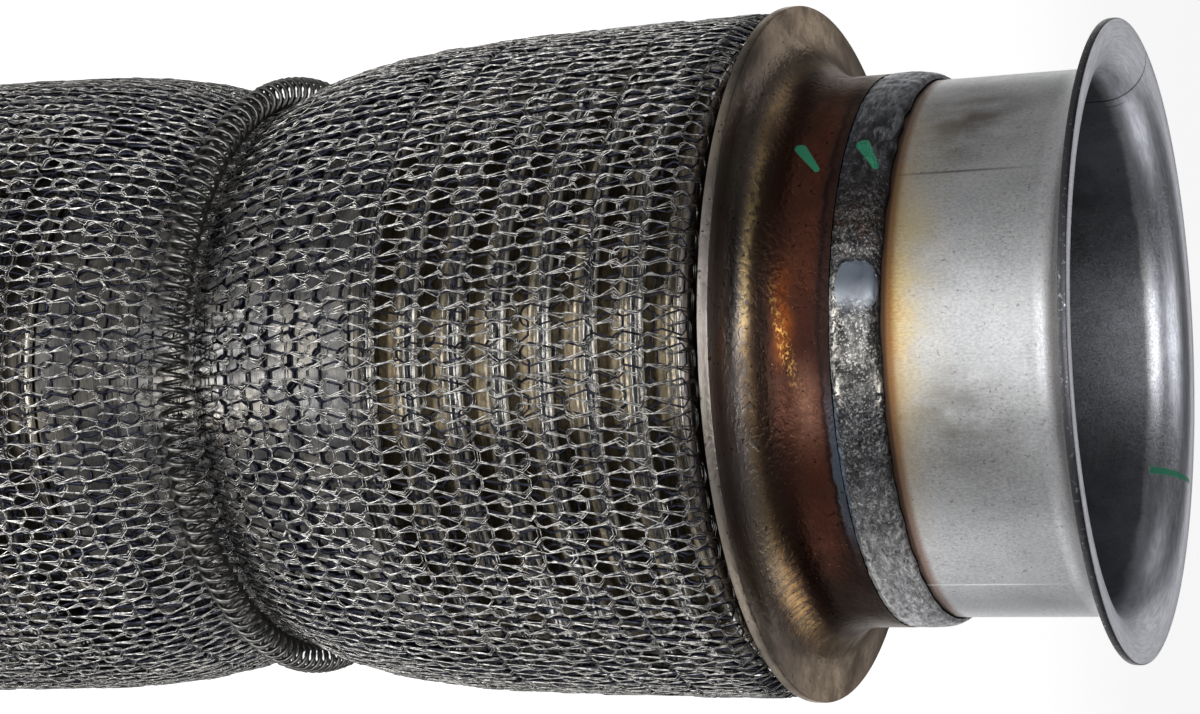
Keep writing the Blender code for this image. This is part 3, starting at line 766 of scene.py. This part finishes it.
def sleeve_line():
    """The sleeve's outer line as dense arrays: arc length from the middle, radius and height, and normal.

    From the seat at the waist the radius swells as one minus e to the power of minus height over the fade,
    and at the shoulder a quarter circle turns in behind the collar.
    """
    height = np.linspace(0, SHOULDER_HEIGHT, 400)
    draw = np.exp(-np.maximum(height - WAIST_SEAT, 0) / WAIST_FADE)
    radius = SLEEVE_RADIUS - (SLEEVE_RADIUS - WAIST_RADIUS) * draw
    bend = arc((radius[-1] - SHOULDER, SHOULDER_HEIGHT), SHOULDER, 0, 80, 40)[1:]
    line = np.vstack([np.stack([radius, height], axis=1), bend])
    line = np.vstack([(line * (1, -1))[:0:-1], line])
    step = np.diff(line, axis=0)
    length = np.concatenate([[0], np.cumsum(np.hypot(step[:, 0], step[:, 1]))])
    slope = np.gradient(line, axis=0)
    slope /= np.hypot(slope[:, 0], slope[:, 1])[:, None]
    normal = np.stack([slope[:, 1], -slope[:, 0]], axis=1)
    return length - length[-1] / 2, line, normal


STITCH_FORWARD = np.array([-0.19, 0.19, 0.365, 0.19, 0.27, 0.375, 0.625, 0.73, 0.81, 0.635])
STITCH_ALONG = np.array([-1.0, -1.0, -0.68, 0.45, 0.8, 1.0, 1.0, 0.8, 0.45, -0.68])
STITCH_DEPTH = np.array([1.0, 1.0, 0.2, 0.1, 0.35, 1.0, 1.0, 0.35, 0.1, 0.2])
STITCH_SPREAD = np.array([0.6, 0.6, 1.0, 1.0, 0.8, 0.6, 0.6, 0.8, 1.0, 1.0])


def stitches(wales, stitch, reach, sink, depth, strand, spread, seed):
    """Centrelines of one wire of the knit, as closed rings of points, with their outward directions.

    A stitch has ten corners. Each lies forward by a share of the wale, along by a share of the reach, and in
    by a share of the depth, so that straight legs lie in front and the short arcs at their ends lie behind.
    Smoothed random values loosen this, some shared by all the wires of a stitch and some each wire's own.
    """
    length, line, normal = sleeve_line()
    shared = np.random.default_rng(seed)
    own = np.random.default_rng(seed + 10 * strand + 20)
    span = length[-1] - reach - 0.4 * MM
    courses = 2 * int(span / stitch) + 1
    centres = (np.arange(courses) - (courses - 1) / 2) * stitch
    count = wales * len(STITCH_FORWARD)
    even_forward = (np.arange(wales)[:, None] + STITCH_FORWARD).ravel()
    even_along = -reach * np.tile(STITCH_ALONG, wales)

    def waver(size, width, chance=own):
        """Random values for each course, smoothed round the ring over some points."""
        values = chance.normal(size=(courses, count))
        weights = np.exp(-0.5 * (np.minimum(np.arange(count), count - np.arange(count)) / width) ** 2)
        smooth = np.fft.ifft(np.fft.fft(values, axis=1) * np.fft.fft(weights), axis=1).real
        return size * smooth / smooth.std()

    hoop = 2 * np.pi * np.interp(centres, length, line[:, 0])[:, None] / wales
    forward = even_forward + waver(0.025, 2) + waver(0.04, 4, shared) + waver(0.05, 30, shared)
    along = centres[:, None] + even_along * (1 + waver(0.05, 5, shared))
    along = along + waver(0.12 * MM, 3) + waver(0.2 * MM, 5, shared) + waver(0.3 * MM, 60, shared)
    ahead = (np.roll(even_forward, -1) - np.roll(even_forward, 1)) % wales
    run = np.stack([ahead * hoop, (np.roll(even_along, -1) - np.roll(even_along, 1)) + 0 * hoop], axis=2)
    run /= np.linalg.norm(run, axis=2, keepdims=True)
    lateral = strand * spread * np.tile(STITCH_SPREAD, wales) * (1 + waver(0.3, 4))
    twist = waver(0.5, 5)
    forward = forward - lateral * np.cos(twist) * run[..., 1] / hoop
    along = along + lateral * np.cos(twist) * run[..., 0]
    in_depth = sink + depth * np.tile(STITCH_DEPTH, wales) + lateral * np.sin(twist) * 0.6
    in_depth = in_depth + waver(0.05 * MM, 3) + waver(0.08 * MM, 5, shared)
    in_depth = np.maximum(in_depth, 0)
    radius = np.interp(along, length, line[:, 0])
    height = np.interp(along, length, line[:, 1])
    out_part = np.interp(along, length, normal[:, 0])
    up_part = np.interp(along, length, normal[:, 1])
    radius = radius - in_depth * out_part
    height = height - in_depth * up_part
    angle = 2 * np.pi * forward / wales
    points = np.stack([radius * np.cos(angle), radius * np.sin(angle), height + MIDDLE], axis=2)
    outward = np.stack([out_part * np.cos(angle), out_part * np.sin(angle), up_part], axis=2)
    return points, outward


def wire_grid(points, outward, across, deep, sides):
    """Closed tubes round closed rings of points: an ellipse round each point, square to the run.

    Its width across and its depth are one number each, or arrays with one for each point.
    """
    run = np.roll(points, -1, axis=1) - np.roll(points, 1, axis=1)
    run /= np.linalg.norm(run, axis=2, keepdims=True)
    side = np.cross(outward, run)
    side /= np.linalg.norm(side, axis=2, keepdims=True)
    up = np.cross(run, side)
    turn = 2 * np.pi * (np.arange(sides) + 0.25) / sides
    wide = side[:, :, None] * (np.cos(turn)[:, None] * across / 2)
    high = up[:, :, None] * (np.sin(turn)[:, None] * deep / 2)
    return points[:, :, None] + (wide + high)


def knitted_wire():
    """Drawn stainless wire: bright grey, duller in short patches where it has been bent and handled.

    It is painted darker close to the spring and behind the collars, as the shade there.
    """
    material, tree, shader = metal("knitted_stainless_wire", 0.2)
    spot = add(tree, "TexCoord").outputs["Object"]
    colour = tinted("d2d0cb", "54545a", cloud(spot, 0.9, (1, 1, 1), 2, 0.42, 0.62), share=0.8)
    colour = tinted(colour, "666668", cloud(spot, 25), share=0.25)
    height = add(tree, "SeparateXYZ", {0: spot}).outputs["Z"]
    from_middle = add(tree, "Math", {0: height, 1: MIDDLE}, operation="SUBTRACT")
    from_middle = add(tree, "Math", {0: from_middle}, operation="ABSOLUTE")
    from_middle = add(tree, "Math", {0: from_middle, 1: MM}, operation="DIVIDE")
    # Painted shade behind the collars and beside the spring.
    colour = tinted(colour, "2c2c2f", rising(from_middle, 98.0, 105.0), share=0.7)
    colour = tinted(colour, "2c2c2f", hump(from_middle, 5.5, 5.5), share=0.55)
    painted(shader, colour)
    return material


def inner_wire():
    """The same drawn stainless wire, painted dark blue-grey as the shade inside the sleeve, in short patches.
    """
    material, tree, shader = metal("inner_layer_wire", 0.35)
    spot = add(tree, "TexCoord").outputs["Object"]
    colour = tinted("3a3c4a", "15161d", cloud(spot, 1.6, (1, 1, 1), 2, 0.4, 0.6), share=0.8)
    painted(shader, colour)
    return material


wire_finish = knitted_wire()
outer_knit = (WALES, STITCH, LOOP_REACH, LOOP_SINK, LOOP_DEPTH)
for strand, name in ((-1, "first"), (0, "second"), (1, "third")):
    points, outward = stitches(*outer_knit, strand, WIRE_SPACING, seed=71)
    grid = wire_grid(points, outward, WIRE, WIRE, WIRE_SIDES)
    half = len(grid) // 2
    piece("knit_lower_" + name, grid[:half], wire_finish, ["mesh_sleeve"], sharp=None)
    piece("knit_upper_" + name, grid[half:], wire_finish, ["mesh_sleeve"], sharp=None)

# The inner layer has one wire for each bundle, dark as painted shade. Past the spring the wire stands on
# edge and lies deeper, most of all from the waist to the bellows, so that the sleeve's edge can't be seen
# through.
inner_knit = (INNER_WALES, INNER_STITCH, INNER_REACH, INNER_SINK, INNER_DEPTH)
points, outward = stitches(*inner_knit, strand=0, spread=0, seed=95)
from_waist = np.abs(points[..., 2:] - MIDDLE) / MM
clear = np.clip((from_waist - PAST_SPRING) / PAST_SPRING, 0, 1)
crowded = clear * np.exp(-(((from_waist - CROWD_CENTRE) / CROWD_REACH) ** 2))
points = points - outward * (0.4 * clear + 0.7 * crowded) * MM
wide, deep = (0.42 + 0.3 * crowded) * MM, (0.25 + 0.75 * clear + 1.1 * crowded) * MM
grid = wire_grid(points, outward, wide[..., None], deep[..., None], WIRE_SIDES)
piece("knit_inner", grid, inner_wire(), ["mesh_sleeve"], sharp=None)


# Garter spring
# A long coil of drawn spring steel wire, hooked end to end into a ring, which holds the sleeve's waist. The
# wire is dark with oil.
COIL_OD = 6.5 * MM
SPRING_WIRE = 1.0 * MM
SPRING_TURNS = 134
STEPS_A_TURN = 14
SPRING_WIRE_SIDES = 6
SPRING_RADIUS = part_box("garter_spring")[1].x - COIL_OD / 2


def spring_grid():
    """A helix bent into a ring: the coil's angle goes round once a turn while the ring's goes round once."""
    steps = STEPS_A_TURN * SPRING_TURNS
    ring = 2 * np.pi * np.arange(steps) / steps
    coil = SPRING_TURNS * ring
    pull = (COIL_OD - SPRING_WIRE) / 2
    reach = SPRING_RADIUS + pull * np.cos(coil)
    points = np.stack([reach * np.cos(ring), reach * np.sin(ring), pull * np.sin(coil) + MIDDLE], axis=1)
    core = np.stack([np.cos(ring), np.sin(ring), 0 * ring], axis=1) * SPRING_RADIUS + (0, 0, MIDDLE)
    return wire_grid(points[None], (points - core)[None], SPRING_WIRE, SPRING_WIRE, SPRING_WIRE_SIDES)


def spring_wire():
    """Oiled spring steel wire, hard drawn: warm dark grey with a soft gloss."""
    material, tree, shader = metal("oiled_spring_wire", 0.3)
    spot = add(tree, "TexCoord").outputs["Object"]
    colour = tinted("7d7c79", "434241", cloud(spot, 1.5), share=0.6)
    painted(shader, colour)
    return material


piece("spring_coil", spring_grid(), spring_wire(), ["garter_spring"], sharp=None)


# Floor, lamps and camera
# A plain white floor under soft studio lamps, with small low ones in front for the bright line on the pipe.
# The camera lies on its side, so that the standing pipe lies across the picture.
FLOOR_SIZE = 16.0
FLOOR_GLOW = 0.86
FLOOR_IN_METAL = 0.28
ROOM_LIGHT = 0.06


def white_floor():
    """Matt white paint: white to the camera, grey in the metal's reflections, and it keeps the shadow."""
    material = bpy.data.materials.new("matt_white_floor")
    material.use_nodes = True
    tree = material.node_tree
    shader = tree.nodes["Principled BSDF"]
    shader.inputs["Base Color"].default_value = linear("d2d2d2")
    shader.inputs["Roughness"].default_value = 0.9
    path = add(tree, "LightPath")
    mirrored = add(tree, "Math", {0: path.outputs["Is Glossy Ray"], 1: FLOOR_IN_METAL}, operation="MULTIPLY")
    seen = add(tree, "Math", {0: path.outputs["Is Camera Ray"], 1: mirrored}, operation="MAXIMUM")
    seen = add(tree, "Math", {0: seen, 1: path.outputs["Is Transmission Ray"]}, operation="MAXIMUM")
    glow = add(tree, "Emission", {"Color": (1, 1, 1, 1), "Strength": FLOOR_GLOW})
    both_shaders = add(tree, "AddShader", {0: shader, 1: glow})
    mix = add(tree, "MixShader", {0: seen, 1: shader, 2: both_shaders})
    tree.links.new(mix.outputs[0], tree.nodes["Material Output"].inputs["Surface"])
    return material


corners = np.array([(-1, -1, 0), (1, -1, 0), (1, 1, 0), (-1, 1, 0)]) * FLOOR_SIZE / 2
floor_mesh = bpy.data.meshes.new("floor")
floor_mesh.from_pydata(corners.tolist(), [], [(0, 1, 2, 3)])
floor_mesh.materials.append(white_floor())
floor = bpy.data.objects.new("floor", floor_mesh)
bpy.context.scene.collection.objects.link(floor)

world = bpy.context.scene.world or bpy.data.worlds.new("studio")
bpy.context.scene.world = world
world.use_nodes = True
world.node_tree.nodes["Background"].inputs["Color"].default_value = (1, 1, 1, 1)
world.node_tree.nodes["Background"].inputs["Strength"].default_value = ROOM_LIGHT


def lamp(name, place, target, width, height, glow):
    """A rectangular lamp at a place, turned to a target, in metres. Its face glows this many times white."""
    data = bpy.data.lights.new(name, "AREA")
    data.shape = "RECTANGLE"
    data.size = width
    data.size_y = height
    data.energy = glow * math.pi * width * height
    made = bpy.data.objects.new(name, data)
    made.location = place
    made.rotation_euler = (Vector(target) - Vector(place)).to_track_quat("-Z", "Y").to_euler()
    made.visible_camera = False
    bpy.context.scene.collection.objects.link(made)


lamp("low_front_softbox", (-0.17, -0.5, 0.15), (0, 0, 0.24), 0.6, 0.12, 0.2)
lamp("floor_front_softbox", (-0.04, -0.5, 0.05), (0, 0, 0.14), 0.4, 0.08, 3.6)
lamp("near_front_softbox", (-0.01, -0.32, 0.036), (0, 0, 0.14), 0.24, 0.064, 5.2)
lamp("low_side_softbox", (0.5, 0.05, 0.1), (0, 0, 0.2), 0.5, 0.22, 1.0)
lamp("low_back_softbox", (0.0, 0.6, 0.12), (0, 0, 0.3), 0.9, 0.26, 0.85)
lamp("front_softbox", (0.0, -1.25, 0.62), (0, 0, 0.25), 1.1, 0.8, 3.5)
lamp("top_softbox", (0.0, -0.25, 1.4), (0, 0, 0.2), 0.5, 0.7, 2.2)
lamp("side_softbox", (0.9, 0.48, 0.94), (0, 0, 0.3), 0.7, 0.6, 1.2)
lamp("far_side_softbox", (-0.9, 0.48, 0.94), (0, 0, 0.3), 0.6, 0.6, 0.5)
lamp("back_softbox", (0.0, 1.3, 0.85), (0, 0, 0.3), 1.2, 0.6, 0.8)

PIXELS_WIDE = 1200
FOCAL_PIXELS = 2694.6
TILT = math.radians(22.23)
ROLL = math.radians(2.39)
RIM_CENTRE = (43.76 * MM, -0.65 * MM, 521.09 * MM)

up_the_pipe = np.array([0, math.sin(TILT), math.cos(TILT)])
sideways = np.array([1.0, 0, 0])
view = np.array([0, math.cos(TILT), -math.sin(TILT)])
picture_right = math.cos(ROLL) * up_the_pipe + math.sin(ROLL) * sideways
picture_up = math.sin(ROLL) * up_the_pipe - math.cos(ROLL) * sideways
eye = np.array([0, 0, MIDDLE + COLLAR_FACE]) - RIM_CENTRE[0] * picture_right
eye = eye + RIM_CENTRE[1] * picture_up - RIM_CENTRE[2] * view
camera_data = bpy.data.cameras.new("camera")
camera_data.sensor_width = 36.0
camera_data.lens = FOCAL_PIXELS * camera_data.sensor_width / PIXELS_WIDE
camera_data.clip_start = 0.01
camera = bpy.data.objects.new("camera", camera_data)
place = np.eye(4)
place[:3, 0], place[:3, 1], place[:3, 2], place[:3, 3] = picture_right, picture_up, -view, eye
camera.matrix_world = Matrix(place)
bpy.context.scene.collection.objects.link(camera)
bpy.context.scene.camera = camera
bpy.context.scene.view_settings.view_transform = "Standard"
